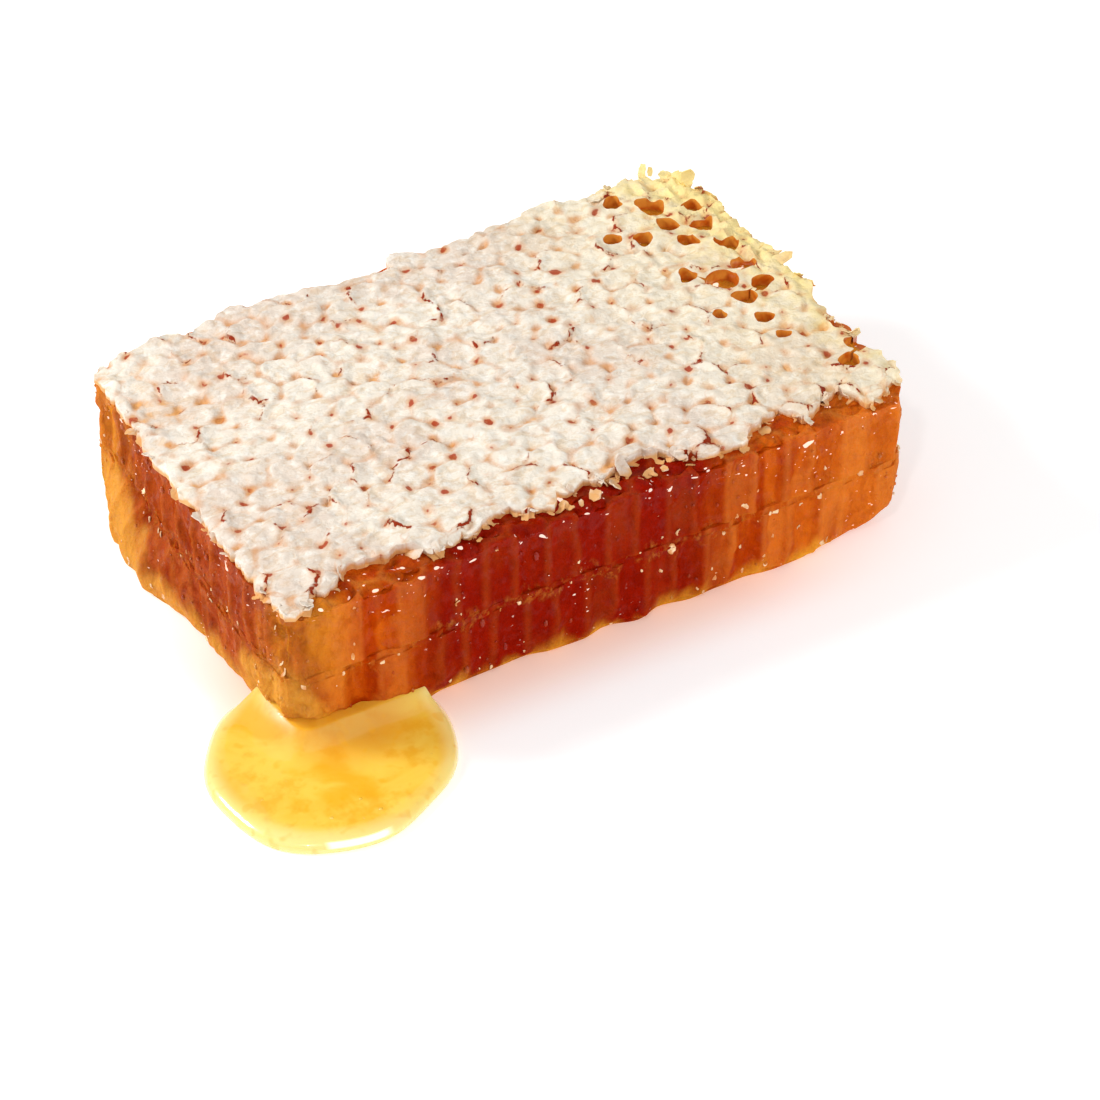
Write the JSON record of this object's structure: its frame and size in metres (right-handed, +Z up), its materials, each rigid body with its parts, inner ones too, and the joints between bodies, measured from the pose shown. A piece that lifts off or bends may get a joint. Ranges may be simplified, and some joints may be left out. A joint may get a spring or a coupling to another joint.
{
  "type": "honeycomb piece",
  "caption": "Cut block of sealed honeycomb lying flat, with wax cappings, open cut sides and honey pooled at one corner.",
  "frame": {"origin": "middle of the flat underside that the block rests on", "axes": "+X along the long side, +Y along the short side away from the side with torn cappings, +Z up"},
  "size_m": [0.1113, 0.0843, 0.0248],
  "materials": {
    "wax_capping": "dry matte white wax, dented and cracked",
    "comb_honey": "wet translucent amber honey in wax cells",
    "wax_wall": "thin honey-soaked wax",
    "run_honey": "clear yellow liquid honey"
  },
  "bodies": {
    "root": {"upper_cappings": "wax_capping", "upper_cells": "comb_honey", "midrib": "wax_wall", "lower_cells": "comb_honey", "lower_cappings": "wax_capping", "honey_pool": "run_honey"}
  },
  "joints": []
}
